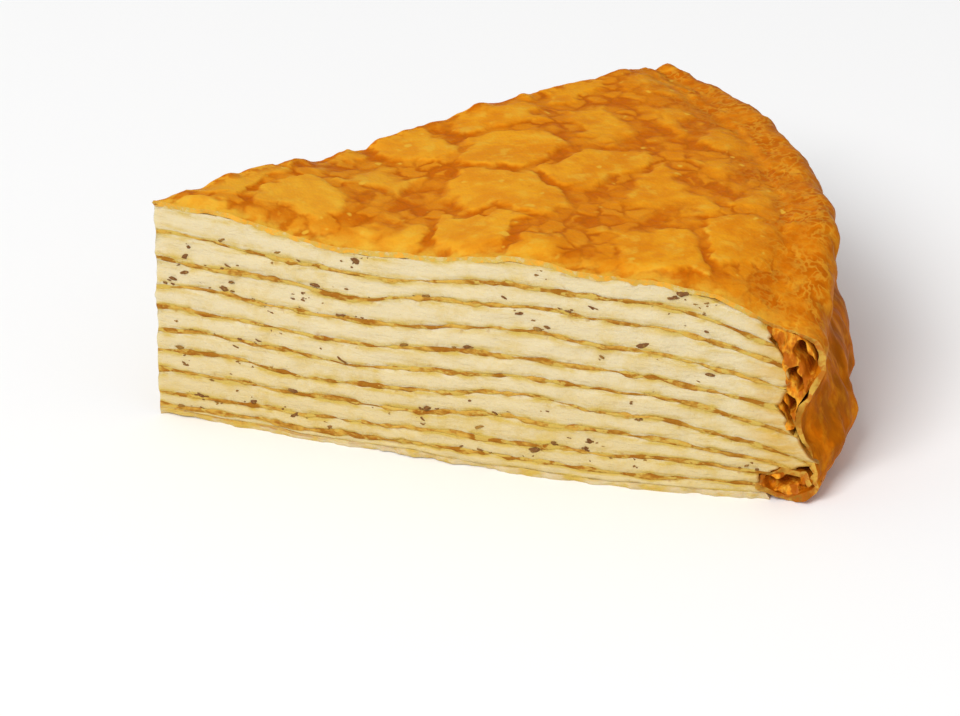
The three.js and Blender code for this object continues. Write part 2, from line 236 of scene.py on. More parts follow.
# The folds inside the rim: their names, sections and seeds, their hollows in millimetres, and their
# crumples as height, stretch out, stretch up and length
FOLDS = (("rim_fold", FOLD_INSIDE, FOLD_OUTSIDE, 81), ("rim_flap", FLAP_LOW, FLAP_HIGH, 91))
FOLD_HOLLOWS = (
    {"start": (101.3, 25.6), "end": (102.9, 22.2), "width": 1.2, "depth": 5.0},
    {"start": (100.2, 22.6), "end": (101.3, 19.6), "width": 0.9, "depth": 4.5},
    {"start": (99.8, 17.4), "end": (100.1, 14.9), "width": 0.75, "depth": 6.0},
    {"start": (98.2, 16.2), "end": (100.2, 13.2), "width": 0.45, "depth": 3.0},
    {"start": (97.6, 2.8), "end": (100.6, 3.6), "width": 1.1, "depth": 3.5},
    {"start": (102.2, 2.4), "end": (103.8, 2.8), "width": 0.8, "depth": 2.0},
)
HOLLOW_BED = 0.3
# Depth of a hollow at which its painted shade is full
HOLLOW_SHADE = 3 * MM
HOLLOW_SHARES = (0.75, 0.35)
HOLLOW_LENGTH = 1.2 * MM
FOLD_CRUMPLES = ((0.55 * MM, 1.6, 0.6, 2.2 * MM), (0.35 * MM, 1.3, 0.8, 0.9 * MM))
FOLD_BEND = (0.5 * MM, 0.7 * MM)
FOLD_BEND_LENGTH = 1.8 * MM
FOLD_CORE = 0.1
FOLD_SUNK = 0.6 * MM
FOLD_SUNK_END = 0.15

# The dark bits in the cream, with places in millimetres from the tip
BIT_SEED = 12
TIP_SHARE = 0.45
TIP_ZONE = (2, 28)
RIM_ZONE = (28, 95)
BIT_HEIGHTS = (0.8, 1.3)
BIT_SPREAD = 0.4
LARGEST_BIT = 1.8
LARGE_BIT = 1.15
SMALL_BITS = (0.35, 0.8)
CLUSTER_COUNT = 1.7
CLUSTER_REACH = (1.5, 0.25)
BIT_START = 1.5 * MM
BIT_LIMITS = (0.06, 0.94)
BIT_ROOM = 0.45
BIT_LUMPS = 0.65
BIT_LUMP_LENGTH = 0.6
BIT_KINDS = 1000
BIT_SLANT = 0.7
BIT_OFFSET = 3.0
BIT_TURN = 6.3
BIT_LEAN = 0.3
BIT_LENGTH = (1.0, 2.0)
BIT_DEPTH = 0.5
BIT_HEIGHT = (0.6, 0.95)
BIT_PROUD = 0.04 * MM

# Mesh steps, and the angles under which edges are smooth
LAYER_ROWS = 400
LAYER_COLUMNS = 8
CREAM_STEPS = 9
CREPE_STEPS = 3
TOP_ROWS = 330
TOP_COLUMNS = 210
FOLD_ROWS = 150
FOLD_COLUMNS = 24
FOLD_STEPS = 36
RUMPLE_TABLE = 64
END_STEPS = 600
LAYER_SMOOTH = math.radians(50)
CREPE_SMOOTH = math.radians(60)
BIT_SMOOTH = math.radians(40)

# The photograph's camera: its sensor in millimetres, its lens and where it stands, seen from the tip
SENSOR_WIDTH = 36.0
LENS = 193.14
CAMERA_AZIMUTH = math.radians(-10.95)
CAMERA_ELEVATION = math.radians(27.23)
CAMERA_DISTANCE = 0.8
CAMERA_ASIDE = 49.64 * MM
CAMERA_RISE = 8.65 * MM

# The shader of the cut crepes
SOFT_CREPE = {
    "Roughness": 0.5,
    "Specular IOR Level": 0.1,
    "Subsurface Weight": 0.1,
    "Subsurface Scale": 1.0 * MM,
}

# The stage
FLOOR_SIZE = 8.0
FLOOR_DROP = 0.02 * MM
FLOOR_CLOUD = 0.3
FLOOR_SHADE = 0.98
ROOM_LIGHT = 0.52
KEY_PLACE = (-1.2, -1.4, 1.7)
KEY_SIZE = 1.2
KEY_POWER = 52.0


def length_of(name, description, default, smallest=0.0):
    """A length that a user may change."""
    return FloatProperty(name=name, description=description, default=default, min=smallest, unit="LENGTH")


def colour_of(name, description, default):
    """A colour that a user may change."""
    return FloatVectorProperty(
        name=name, description=description, default=default, min=0.0, max=1.0, subtype="COLOR"
    )


class CakeSizes(bpy.types.PropertyGroup):
    """Sizes of the finish that a user may change."""

    island_size: length_of("Island size", "Width of the pale islands of the top", 16 * MM, 2 * MM)
    lace_size: length_of("Lace size", "Width of the lumps in the brown bands", 3.4 * MM, 0.5 * MM)
    island_rise: length_of("Island rise", "Height of the pale islands over the brown bands", 0.25 * MM)
    crumple: length_of("Crumple", "Height of the crumples of the hanging crepe", 0.85 * MM)
    cream_bulge: length_of("Cream bulge", "How far the cream swells out between two crepes", 0.28 * MM)
    edge_wander: length_of("Edge wander", "How far the cut crepe edges wander up and down", 0.32 * MM)
    bit_size: length_of("Bit size", "Usual half length of the dark bits", 0.3 * MM, 0.1 * MM)
    bits_per_cut: IntProperty(
        name="Bits per cut",
        description="Number of dark bits that show at each cut face",
        default=320,
        min=0,
    )


class CakeColours(bpy.types.PropertyGroup):
    """Colours of the finish that a user may change."""

    golden: colour_of("Golden", "Pale islands of the browned top", (0.78, 0.32, 0.012))
    amber: colour_of("Amber", "Bands between the islands", (0.681, 0.208, 0.00443))
    brown: colour_of("Brown", "Lines in the bands, and the crepe at the rim", (0.54, 0.125, 0.0012))
    toasted: colour_of("Toasted", "Darkest crepe, on the hanging side", (0.292, 0.0752, 0.00177))
    # Straw also paints the sparse glints of the top, which are painted highlights
    straw: colour_of("Straw", "Palest spots of the top, and its near edge", (0.761, 0.425, 0.0398))
    # Russet also darkens the hollows of the folds, partly as the crepe's own colour and partly as painted
    # shade
    russet: colour_of("Russet", "Red-brown crepe in the folds", (0.4, 0.098, 0.0016))
    crepe_line: colour_of("Crepe line", "Browned stretches of the cut crepes", (0.319, 0.124, 0.00708))
    crepe_pale: colour_of("Pale crepe", "Pale stretches of the cut crepes", (0.549, 0.319, 0.0487))
    cream: colour_of("Cream", "Cream between the crepes", (0.632, 0.526, 0.315))
    # Low in the stack, warm cream also stands partly for painted warm light reflected from below
    warm_cream: colour_of("Warm cream", "Cream near the crepes and low in the stack", (0.54, 0.372, 0.0752))
    bits: colour_of("Bits", "Dark bits in the cream", (0.17, 0.07, 0.024))
    floor: colour_of("Floor", "Pale floor under the slice", (0.96, 0.96, 0.96))


# The shape of the slice


def tip_of_slice():
    """Place of the slice's tip, from the lowest crepe of the frame."""
    corners = np.array([vertex.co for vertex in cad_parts["crepe_base"].data.vertices])
    return corners[corners[:, 0].argmin()]


TIP = tip_of_slice()


def smoothstep(value, low, high):
    """A smooth step from 0, at low, to 1, at high."""
    share = np.clip((value - low) / (high - low), 0.0, 1.0)
    return share * share * (3.0 - 2.0 * share)


def bell(distance, spread):
    """A bell curve that is 1 at zero."""
    return np.exp(-((distance / spread) ** 2))


def swell(shape, z):
    """A smooth swelling at a height."""
    depth, middle, spread = shape
    return depth * bell(z - middle, spread)


def rumple(seed, u, v, length):
    """Smooth random heights from -1 to 1 over a plane, with bumps of about this length."""
    table = np.random.default_rng(seed).uniform(-1.0, 1.0, (RUMPLE_TABLE, RUMPLE_TABLE))
    u, v = np.broadcast_arrays(np.asarray(u) / length, np.asarray(v) / length)
    column = np.floor(u).astype(int)
    row = np.floor(v).astype(int)
    across = smoothstep(u - column, 0.0, 1.0)
    up = smoothstep(v - row, 0.0, 1.0)

    def corner(i, j):
        return table[(column + i) % RUMPLE_TABLE, (row + j) % RUMPLE_TABLE]

    low = corner(0, 0) + (corner(1, 0) - corner(0, 0)) * across
    high = corner(0, 1) + (corner(1, 1) - corner(0, 1)) * across
    return low + (high - low) * up


def between_cuts(seed, r, across, length):
    """A random curve along the radius that changes from one cut to the other."""
    near = rumple(seed, r, 0.0, length)
    far = rumple(seed + 1, r, 0.0, length)
    return near + (far - near) * (across + 1.0) / 2.0


def rumples(waves, u, v):
    """Random waves of several lengths on top of each other."""
    return sum(height * rumple(seed, u, v, length) for seed, height, length in waves)


def cut_rumples(waves, r, across, shift=0):
    """Random waves along both cuts, on top of each other, with their seeds shifted."""
    return sum(height * between_cuts(seed + shift, r, across, length) for seed, height, length in waves)


def smooth_path(points, shares):
    """Places at these shares of the length of a smooth curve through the points."""
    points = np.array(points, float)
    steps = np.linalg.norm(np.diff(points, axis=0), axis=1)
    knots = np.concatenate(([0.0], np.cumsum(steps))) / steps.sum()
    slopes = np.gradient(points, knots, axis=0)
    span_at = np.clip(np.searchsorted(knots, shares, side="right") - 1, 0, len(points) - 2)
    span = (knots[span_at + 1] - knots[span_at])[:, None]
    t = (shares - knots[span_at])[:, None] / span
    start = (1.0 + 2.0 * t) * (1.0 - t) ** 2 * points[span_at]
    leave = t * (1.0 - t) ** 2 * span * slopes[span_at]
    end = t * t * (3.0 - 2.0 * t) * points[span_at + 1]
    arrive = t * t * (t - 1.0) * span * slopes[span_at + 1]
    return start + leave + end + arrive


def plan(r, across, z, proud=0.0):
    """Points of the slice: across runs from -1 at one cut face to 1 at the other."""
    bow = NEAR_BOW + (FAR_BOW - NEAR_BOW) * (across + 1.0) / 2.0
    bulge = bow * np.sin(np.pi * np.minimum(1.0, r / RADIUS) ** BOW_POWER)
    sideways = bulge + proud * np.minimum(1.0, r / TIP_TAPER)
    angle = across * (WEDGE_ANGLE / 2.0 + sideways / np.maximum(r, TIP_TAPER / 2.0))
    lift = droop(1.0, np.minimum(r, LIFT_END)) + SHOULDER_LIFT * smoothstep(r, *SHOULDER)
    lift = lift * np.minimum(1.0, (across + 1.0) / LIFT_WIDTH)
    fall = BACK_FALL * r / RADIUS * (across + 1.0) / 2.0
    for middle, spread, depth in CORNER_WAVES:
        fall = fall + depth * bell(r - middle, spread) * smoothstep(across, *CORNER_ACROSS)
    height = z * (1.0 + lift / TIP_HEIGHT) * (1.0 - fall)
    return np.column_stack((TIP[0] + r * np.cos(angle), TIP[1] + r * np.sin(angle), height))


def ripple(share, r, across):
    """Waves of the sheet that lies at this share of the stack's height."""
    at_rim = smoothstep(r, RIPPLE_END - RIPPLE_FADE, RIPPLE_END)
    rise = 0.0
    for wave in RIPPLES:
        turn = wave["phase"] + wave["turn_up"] * share + wave["turn_across"] * across
        rise = rise + wave["height"] * np.sin(2.0 * np.pi * r / wave["length"] + turn)
    return rise * (1.0 - at_rim) * smoothstep(share, *FLAT_SHARES)


WALL_TOP_RADIUS, WALL_TOP = np.array(ROLL_SECTION[-1]) * MM


def droop(share, r):
    """How far the sheet at this share of the stack bends down towards the rim."""
    if share < 1.0:
        bend = np.clip((r - SAG_START) / (RADIUS - SAG_START), 0.0, 1.0)
        sag = SHEET_SAG * smoothstep(share, *FLAT_SHARES) * bend**SAG_POWER
        return sag * (1.0 + TOP_SAG * smoothstep(share, *TOP_SHARES))
    roll = np.clip((r - ROLL_START) / (INNER_WALL - ROLL_START), 0.0, 1.0)
    return INNER_DROP * (1.0 - np.sqrt(1.0 - roll**2))


def layer_end(layer, side):
    """Radius at which the upper (1) or lower (-1) face of a crepe ends at the rim."""
    ends, heights = np.array(LAYER_ENDS).T * MM
    r = np.linspace(RADIUS / 2.0, RADIUS, END_STEPS)
    z = SHARES[layer] * TIP_HEIGHT - droop(1.0 if layer == 0 else SHARES[layer], r)
    room = np.interp(z + side * CREPE_THICKNESS / 2.0, heights, ends)
    return r[np.argmax(r >= room)]


def edge_rise(r, across):
    """Shape of the top beside the cuts: rounded down and dipped at the near one, lumpy at the far one."""
    to_near = r * WEDGE_ANGLE / 2.0 * (1.0 + across)
    to_far = r * WEDGE_ANGLE / 2.0 * (1.0 - across)
    lumps = rumples(EDGE_LUMPS, r, 0.0)
    rise = LUMP_HEIGHT * lumps * bell(to_far, EDGE_WIDTH) - EDGE_ROUND * bell(to_near, EDGE_WIDTH)
    middle, spread, depth = EDGE_DIP
    rise = rise - depth * bell(r - middle, spread) * bell(to_near, EDGE_DIP_WIDTH)
    return rise * smoothstep(r, 0.0, EDGE_START)


def beside_cuts(across):
    """How near a point between the cuts is to one of them, from 0 to 1."""
    return bell(1.0 + across, FOLD_WIDTH) + FAR_FOLD * bell(1.0 - across, FOLD_WIDTH)


def pleat(z, across):
    """Outward waves of the hanging crepe, deeper towards the foot, and its fold beside the cuts."""
    hang = np.clip(1.0 - z / WALL_TOP, 0.0, 1.0)
    drift = PLEAT_TWIST * hang + PLEAT_BUNCHING * np.sin(PLEAT_BUNCHES * across)
    wave = 0.5 + 0.5 * np.sin(PLEAT_COUNT * np.pi * across + drift)
    fold = swell(CUT_BULGE, z) + swell(CUT_PINCH, z)
    middle, spread = SIDE_HOLLOW_ACROSS
    hollow = swell(SIDE_HOLLOW, z) * bell(across - middle, spread)
    return PLEAT_DEPTH * wave * hang + fold * beside_cuts(across) + hollow


def crepe_shares():
    """Shares of the stack's height at the crepes' middles, from the top crepe down to the base."""
    span = 1.0 - CREPE_THICKNESS / TIP_HEIGHT
    steps = np.array(CREAM_SHARES[::-1]) * span / sum(CREAM_SHARES)
    shares = CREPE_THICKNESS / 2.0 / TIP_HEIGHT + np.concatenate(([0.0], np.cumsum(steps)))
    return shares[::-1]


SHARES = crepe_shares()
BASE_LAYER = len(SHARES) - 1


def crepe_face(layer, side, r, across):
    """Height of the upper (1) or lower (-1) face of a crepe, counted from the top crepe as 0."""
    if layer == 0:
        smear = cut_rumples(TOP_SMEAR, r, across) + TOP_SMEAR_DROP
        smear = smear * bell(1.0 - np.abs(across), TOP_SMEAR_WIDTH)
        inside = TIP_HEIGHT - CREPE_THICKNESS
        return inside + ripple(1.0, r, across) - droop(1.0, r) + smear + edge_rise(r, across)
    if layer == BASE_LAYER:
        lift = np.maximum(0.0, cut_rumples(BASE_LIFT, r, across)) * smoothstep(r, *BASE_LIFT_END)
        thickness = CREPE_THICKNESS * (BASE_FULLNESS + cut_rumples(BASE_SWELLING, r, across))
        return lift + thickness * (side + 1) / 2.0
    share = SHARES[layer]
    middle = share * TIP_HEIGHT - droop(share, r) + ripple(share, r, across)
    middle = middle - TIP_SAG * smoothstep(share, *TIP_SAG_SHARES) * smoothstep(r, TIP_SAG_END, 0.0)
    if layer == 1:
        middle = middle - FIRST_CREPE_DROP * smoothstep(r, 0.0, FIRST_CREPE_START)
    shift = CREPE_SEEDS * layer
    wander = bpy.context.scene.cake_sizes.edge_wander * cut_rumples(CREPE_WANDER, r, across, shift)
    thickness = CREPE_THICKNESS * (CREPE_FULLNESS + cut_rumples(CREPE_SWELLING, r, across, shift))
    return middle + wander + side * thickness / 2.0


# Tools for modelling


def select_only(*pieces):
    """Selects these pieces alone and makes the first one active."""
    bpy.ops.object.select_all(action="DESELECT")
    for piece in pieces:
        piece.select_set(True)
    bpy.context.view_layer.objects.active = pieces[0]


def flat_grid(name, rows, columns):
    """Adds a flat grid, to be shaped: X runs from -1 to 1 along the piece and Y from cut to cut."""
    bpy.ops.object.select_all(action="DESELECT")
    bpy.ops.mesh.primitive_grid_add(x_subdivisions=rows, y_subdivisions=columns, size=2.0)
    piece = bpy.context.active_object
    piece.name = name
    piece.data.name = name
    return piece


def flat_slab(name, rows, columns, steps):
    """Adds a flat closed slab over a grid, with Z from 0 to 1 and its sides cut into steps."""
    piece = flat_grid(name, rows, columns)
    bpy.ops.object.mode_set(mode="EDIT")
    bpy.ops.mesh.select_all(action="SELECT")
    bpy.ops.mesh.extrude_region_move(TRANSFORM_OT_translate={"value": (0.0, 0.0, 1.0)})
    bpy.ops.mesh.select_mode(type="EDGE")
    bpy.ops.mesh.select_all(action="DESELECT")
    bpy.ops.object.mode_set(mode="OBJECT")
    corners = mesh_points(piece)
    for edge in piece.data.edges:
        first, last = edge.vertices
        edge.select = bool(abs(corners[first, 2] - corners[last, 2]) > 0.5)
    bpy.ops.object.mode_set(mode="EDIT")
    bpy.ops.mesh.subdivide(number_cuts=steps - 1)
    bpy.ops.mesh.select_mode(type="VERT")
    bpy.ops.object.mode_set(mode="OBJECT")
    return piece


def mesh_points(piece):
    points = np.empty(len(piece.data.vertices) * 3)
    piece.data.vertices.foreach_get("co", points)
    return points.reshape(-1, 3)


def move_points(piece, points):
    piece.data.vertices.foreach_set("co", np.ascontiguousarray(points, float).ravel())
    piece.data.update()


def lay_map(piece, name, places):
    """Gives the mesh a UV map with one place per vertex."""
    layer = piece.data.uv_layers.new(name=name)
    corners = np.empty(len(piece.data.loops), int)
    piece.data.loops.foreach_get("vertex_index", corners)
    layer.data.foreach_set("uv", np.ascontiguousarray(places[corners], float).ravel())


def lay_values(piece, name, values):
    """Gives the mesh an attribute with one value per vertex."""
    layer = piece.data.attributes.new(name, "FLOAT", "POINT")
    layer.data.foreach_set("value", np.ascontiguousarray(values, np.float32))


def close_tip(piece, outward):
    """Merges the points that meet at the tip and, on a closed mesh, turns the faces outward."""
    select_only(piece)
    bpy.ops.object.mode_set(mode="EDIT")
    bpy.ops.mesh.select_all(action="SELECT")
    bpy.ops.mesh.remove_doubles(threshold=TIP_MERGE)
    if outward:
        bpy.ops.mesh.normals_make_consistent(inside=False)
    bpy.ops.object.mode_set(mode="OBJECT")


def apply_modifier(piece, kind, **settings):
    """Adds a modifier with these settings and applies it."""
    select_only(piece)
    modifier = piece.modifiers.new(kind.lower(), kind)
    for name, value in settings.items():
        setattr(modifier, name, value)
    bpy.ops.object.modifier_apply(modifier=modifier.name)


def smooth(piece, angle):
    select_only(piece)
    bpy.ops.object.shade_smooth_by_angle(angle=angle)


def dress(piece, slot, nodes, *materials):
    """Hands a finished piece to the frame."""
    for index, material in enumerate(materials):
        if index < len(piece.data.materials):
            piece.data.materials[index] = material
        else:
            piece.data.materials.append(material)
    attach(piece, "root")
    if nodes:
        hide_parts(*nodes)


# Tools for materials: a socket knows its node tree, so most of them take sockets and values alone


def fill(tree, made, inputs):
    """Links or sets inputs of a node."""
    for name, value in dict(inputs).items():
        if isinstance(value, bpy.types.NodeSocket):
            tree.links.new(value, made.inputs[name])
        else:
            made.inputs[name].default_value = value


def node(tree, kind, inputs=(), **settings):
    """Adds a node with these settings, and with values or links for its inputs."""
    made = tree.nodes.new(kind)
    for name, value in settings.items():
        setattr(made, name, value)
    fill(tree, made, inputs)
    return made


def maths(operation, first, second=0.0):
    tree = (first if isinstance(first, bpy.types.NodeSocket) else second).id_data
    return node(tree, "ShaderNodeMath", {0: first, 1: second}, operation=operation).outputs[0]


def times(first, second):
    return maths("MULTIPLY", first, second)


def larger(first, second):
    return maths("MAXIMUM", first, second)


def ramp(value, low, high, start=0.0, end=1.0):
    """A smooth step of a value from start, at low, to end, at high."""
    inputs = {"Value": value, "From Min": low, "From Max": high, "To Min": start, "To Max": end}
    settings = {"interpolation_type": "SMOOTHSTEP"}
    return node(value.id_data, "ShaderNodeMapRange", inputs, **settings).outputs[0]


def noise(place, size, detail=2.0, roughness=0.5):
    """Soft clouds of this size, with values about a half."""
    inputs = {"Vector": place, "Scale": 1.0 / size, "Detail": detail, "Roughness": roughness}
    return node(place.id_data, "ShaderNodeTexNoise", inputs, noise_dimensions="3D").outputs[0]


def cells(place, size, feature):
    """Scattered cells of about this size on a plane."""
    inputs = {"Vector": place, "Scale": 1.0 / size, "Randomness": 1.0}
    settings = {"voronoi_dimensions": "2D", "feature": feature}
    return node(place.id_data, "ShaderNodeTexVoronoi", inputs, **settings)


def cell_edges(place, size):
    """Distance to the nearest border between scattered cells, as a share of their size."""
    return cells(place, size, "DISTANCE_TO_EDGE").outputs["Distance"]


def cell_kinds(place, size):
    """A random value for each of the same scattered cells."""
    kinds = cells(place, size, "F1").outputs["Color"]
    return node(place.id_data, "ShaderNodeSeparateXYZ", {0: kinds}).outputs[0]


def strayed(place, size, reach):
    """The place moved by a noise of this size, so that straight borders wander."""
    tree = place.id_data
    shift = noise(place, size).node.outputs["Color"]
    centred = node(tree, "ShaderNodeVectorMath", {0: shift, 1: (0.5, 0.5, 0.5)}, operation="SUBTRACT")
    inputs = {0: centred.outputs[0], 1: (reach, reach, 0.0), 2: place}
    return node(tree, "ShaderNodeVectorMath", inputs, operation="MULTIPLY_ADD").outputs[0]


def stretched(place, scale):
    """The place scaled along its axes, so that a pattern on it is drawn out."""
    return node(place.id_data, "ShaderNodeMapping", {"Vector": place, "Scale": scale}).outputs[0]


def object_place(tree):
    return node(tree, "ShaderNodeTexCoord").outputs["Object"]


def map_place(tree, name):
    return node(tree, "ShaderNodeUVMap", uv_map=name).outputs[0]


def laid_value(tree, name):
    return node(tree, "ShaderNodeAttribute", attribute_name=name).outputs["Fac"]


def mixed(share, first, second):
    """A colour between two others."""
    tree = share.id_data
    made = node(tree, "ShaderNodeMix", {0: share}, data_type="RGBA", clamp_factor=True)
    for socket, value in ((made.inputs[6], first), (made.inputs[7], second)):
        if isinstance(value, bpy.types.NodeSocket):
            tree.links.new(value, socket)
        else:
            socket.default_value = (*value, 1.0)
    return made.outputs[2]


def painted(colour, *coats):
    """A colour with others laid over it, each with its share."""
    for share, over in coats:
        colour = mixed(share, colour, over)
    return colour


def new_material(name):
    """A new material, its node tree and the colours to choose from."""
    material = bpy.data.materials.new(name)
    material.use_nodes = True
    return material, material.node_tree, bpy.context.scene.cake_colours


def finished(material, inputs, relief=None, height=0.0):
    """The material with these inputs of its shader, and with a fine relief of this height."""
    tree = material.node_tree
    fill(tree, tree.nodes["Principled BSDF"], inputs)
    if relief is not None:
        bump = node(tree, "ShaderNodeBump", {"Height": relief, "Distance": height, "Strength": 1.0})
        fill(tree, tree.nodes["Principled BSDF"], {"Normal": bump.outputs[0]})
    return material


def curls(place, size, width):
    """Curling lines: where a noise of this size crosses its middle value."""
    away = maths("ABSOLUTE", maths("SUBTRACT", noise(place, size), 0.5))
    return ramp(away, 0.0, width, 1.0, 0.0)


# The materials: the limits of their ramps are lengths, or values of noises and cells from 0 to 1


def browning(place):
    """The pattern of the browned crepe on a flat map: pale islands, and bands of brown lumps between them."""
    sizes = bpy.context.scene.cake_sizes
    from_tip = node(place.id_data, "ShaderNodeVectorMath", {0: place}, operation="LENGTH").outputs["Value"]
    side = ramp(from_tip, *SIDE_RUN)
    rim = ramp(from_tip, *RIM_RUN)
    knobby = strayed(strayed(place, 11 * MM, 11 * MM), 3.5 * MM, 4 * MM)
    ragged = maths("SUBTRACT", noise(place, 2.6 * MM, 3.0), 0.5)
    to_border = maths("ADD", cell_edges(knobby, sizes.island_size), times(ragged, 0.15))
    width = ramp(noise(place, 24 * MM, 1.0), 0.42, 0.64, 0.09, 0.29)
    width = maths("ADD", width, times(rim, 0.3))
    band = ramp(maths("DIVIDE", to_border, width), 0.4, 1.15, 1.0, 0.0)
    lumpy = strayed(place, 2.4 * MM, 2.6 * MM)
    lumps = cell_edges(lumpy, sizes.lace_size)
    gap = ramp(cell_kinds(lumpy, sizes.lace_size), 0.15, 0.9, 0.0, 0.4)
    lines = ramp(maths("SUBTRACT", lumps, gap), 0.02, 0.22, 1.0, 0.2)
    broken = ramp(noise(place, 4.5 * MM), 0.36, 0.6, 0.3, 1.0)
    ring = curls(strayed(place, 3 * MM, 2 * MM), 0.55 * sizes.lace_size, 0.09)
    ring = times(ring, maths("SUBTRACT", rim, side))
    return {
        "band": band,
        "dark": times(times(lines, band), broken),
        "crack": times(ramp(lumps, 0.02, 0.12, 1.0, 0.0), times(band, broken)),
        "ring": times(ring, broken),
        "pale_tip": ramp(from_tip, *PALE_TIP_RUN),
        "rim": rim,
        "side": side,
    }


def browned_crepe():
    """Browned crepe: golden islands, amber bands and brown lumps, paler at the tip and darker at the rim."""
    material, tree, colours = new_material("browned_crepe")
    place = map_place(tree, "flat_crepe")
    pattern = browning(place)
    rim, side = pattern["rim"], pattern["side"]
    cloud = noise(place, 6 * MM, 3.0, 0.6)
    mottle = noise(place, 3.2 * MM, 3.0, 0.6)
    speck = noise(place, 1.6 * MM, 2.0, 0.6)
    patches = noise(place, 2.6 * MM, 3.0, 0.65)
    streak = noise(stretched(map_place(tree, "hanging"), (0.6, 1.0, 1.0)), 4.5 * MM, 4.0, 0.62)
    # Painted highlights: sparse pale straw spots that stand in for glints of light on the top, kept off the
    # hanging side
    painted_glint = ramp(noise(place, 2.6 * MM, 1.0), 0.69, 0.77, 0.0, 0.8)
    at_far_cut = times(laid_value(tree, "at_far_cut"), ramp(mottle, 0.42, 0.58))
    browned = times(rim, ramp(cloud, 0.35, 0.62, 0.52, 1.0))
    browned = larger(larger(browned, at_far_cut), times(side, 0.8))
    deep = times(rim, ramp(cloud, 0.46, 0.66, 0.0, 0.5))
    colour = painted(
        colours.golden,
        (ramp(cloud, 0.38, 0.66, 0.0, 0.8), colours.amber),
        (ramp(mottle, 0.52, 0.68, 0.0, 0.55), colours.straw),
        (ramp(mottle, 0.48, 0.32, 0.0, 0.5), colours.amber),
        (times(pattern["pale_tip"], 0.38), colours.straw),
        (times(larger(pattern["band"], rim), 0.6), colours.amber),
        (larger(pattern["dark"], browned), colours.brown),
        (larger(deep, times(pattern["crack"], 0.45)), colours.russet),
        (times(side, ramp(streak, 0.58, 0.42, 0.0, 0.65)), colours.toasted),
        (times(rim, ramp(streak, 0.56, 0.7, 0.0, 0.5)), colours.golden),
        (times(side, ramp(patches, 0.46, 0.72, 0.0, 0.35)), colours.golden),
        (times(pattern["ring"], 0.45), colours.straw),
        (times(laid_value(tree, "at_cut"), ramp(mottle, 0.38, 0.6, 0.1, 0.8)), colours.straw),
        (times(painted_glint, maths("SUBTRACT", 1.0, side)), colours.straw),
    )
    inputs = {
        "Base Color": colour,
        "Roughness": ramp(speck, 0.3, 0.7, 0.34, 0.52),
        "Specular IOR Level": 0.01,
        "Subsurface Weight": 0.08,
        "Subsurface Radius": (1.0, 0.45, 0.12),
        "Subsurface Scale": 1.2 * MM,
    }
    return finished(material, inputs, speck, 0.2 * MM)


def cut_crepe():
    """Cut edge of the browned crepe: pale with golden dabs over the cream, red-brown around the folds."""
    material, tree, colours = new_material("cut_crepe")
    place = object_place(tree)
    stretch = noise(place, 5 * MM, 3.0)
    dab = noise(place, 1.6 * MM, 3.0, 0.65)
    folded = painted(
        colours.crepe_line,
        (ramp(stretch, 0.38, 0.56), colours.crepe_pale),
        (ramp(dab, 0.44, 0.6, 0.0, 0.8), colours.russet),
    )
    colour = painted(
        colours.warm_cream,
        (ramp(stretch, 0.38, 0.62), colours.crepe_pale),
        (ramp(dab, 0.42, 0.62, 0.0, 0.65), colours.golden),
        (ramp(dab, 0.44, 0.34, 0.0, 0.4), colours.cream),
        (laid_value(tree, "at_fold"), folded),
    )
    inputs = {"Base Color": colour, **SOFT_CREPE}
    return finished(material, inputs, noise(place, 0.7 * MM), 0.15 * MM)


def folded_crepe():
    """Crumpled crepe inside the rim: golden ridges, and red-brown hollows that are partly the crepe's own
    browning and partly painted shade.
    """
    material, tree, colours = new_material("folded_crepe")
    long_place = stretched(object_place(tree), (1.0, 1.0, 0.45))
    streak = noise(long_place, 1.7 * MM, 3.0, 0.6)
    grain = noise(long_place, 0.7 * MM, 2.0, 0.6)
    pale = mixed(ramp(grain, 0.36, 0.6, 0.0, 0.6), colours.amber, colours.straw)
    colour = painted(
        colours.russet,
        (ramp(streak, 0.42, 0.57), pale),
        # Painted shade, partly the crepe's own red-brown: the deeper a point lies in a hollow between the
        # folds, the more russet it is
        (times(laid_value(tree, "hollow_shade_in_fold"), 0.75), colours.russet),
    )
    inputs = {"Base Color": colour, "Roughness": 0.5, "Specular IOR Level": 0.1}
    return finished(material, inputs, grain, 0.25 * MM)


def crepe_edge(name, pale_foot):
    """Crepes between the cream: browned and pale stretches, smeared over with cream in places."""
    material, tree, colours = new_material(name)
    place = object_place(tree)
    long_place = stretched(place, (1.0, 1.0, 2.2))
    stretch = noise(long_place, 4.5 * MM, 3.0, 0.65)
    grain = noise(long_place, 1.2 * MM, 3.0, 0.65)
    smear = noise(long_place, 2.8 * MM, 3.0, 0.65)
    colour = painted(
        colours.crepe_line,
        (ramp(stretch, 0.42, 0.62), colours.crepe_pale),
        (ramp(grain, 0.5, 0.66, 0.0, 0.5), colours.toasted),
        (ramp(smear, 0.505, 0.6, 0.0, 0.92), colours.warm_cream),
    )
    if pale_foot:
        foot = mixed(ramp(stretch, 0.38, 0.65), colours.cream, colours.warm_cream)
        out = node(tree, "ShaderNodeSeparateXYZ", {0: place}).outputs[0]
        low = ramp(laid_value(tree, "depth_in_layer"), 0.85, 0.5)
        covered = larger(low, ramp(out, -50 * MM, -15 * MM))
        colour = mixed(times(covered, 0.85), colour, foot)
    inputs = {"Base Color": colour, **SOFT_CREPE}
    return finished(material, inputs, grain, 0.25 * MM)


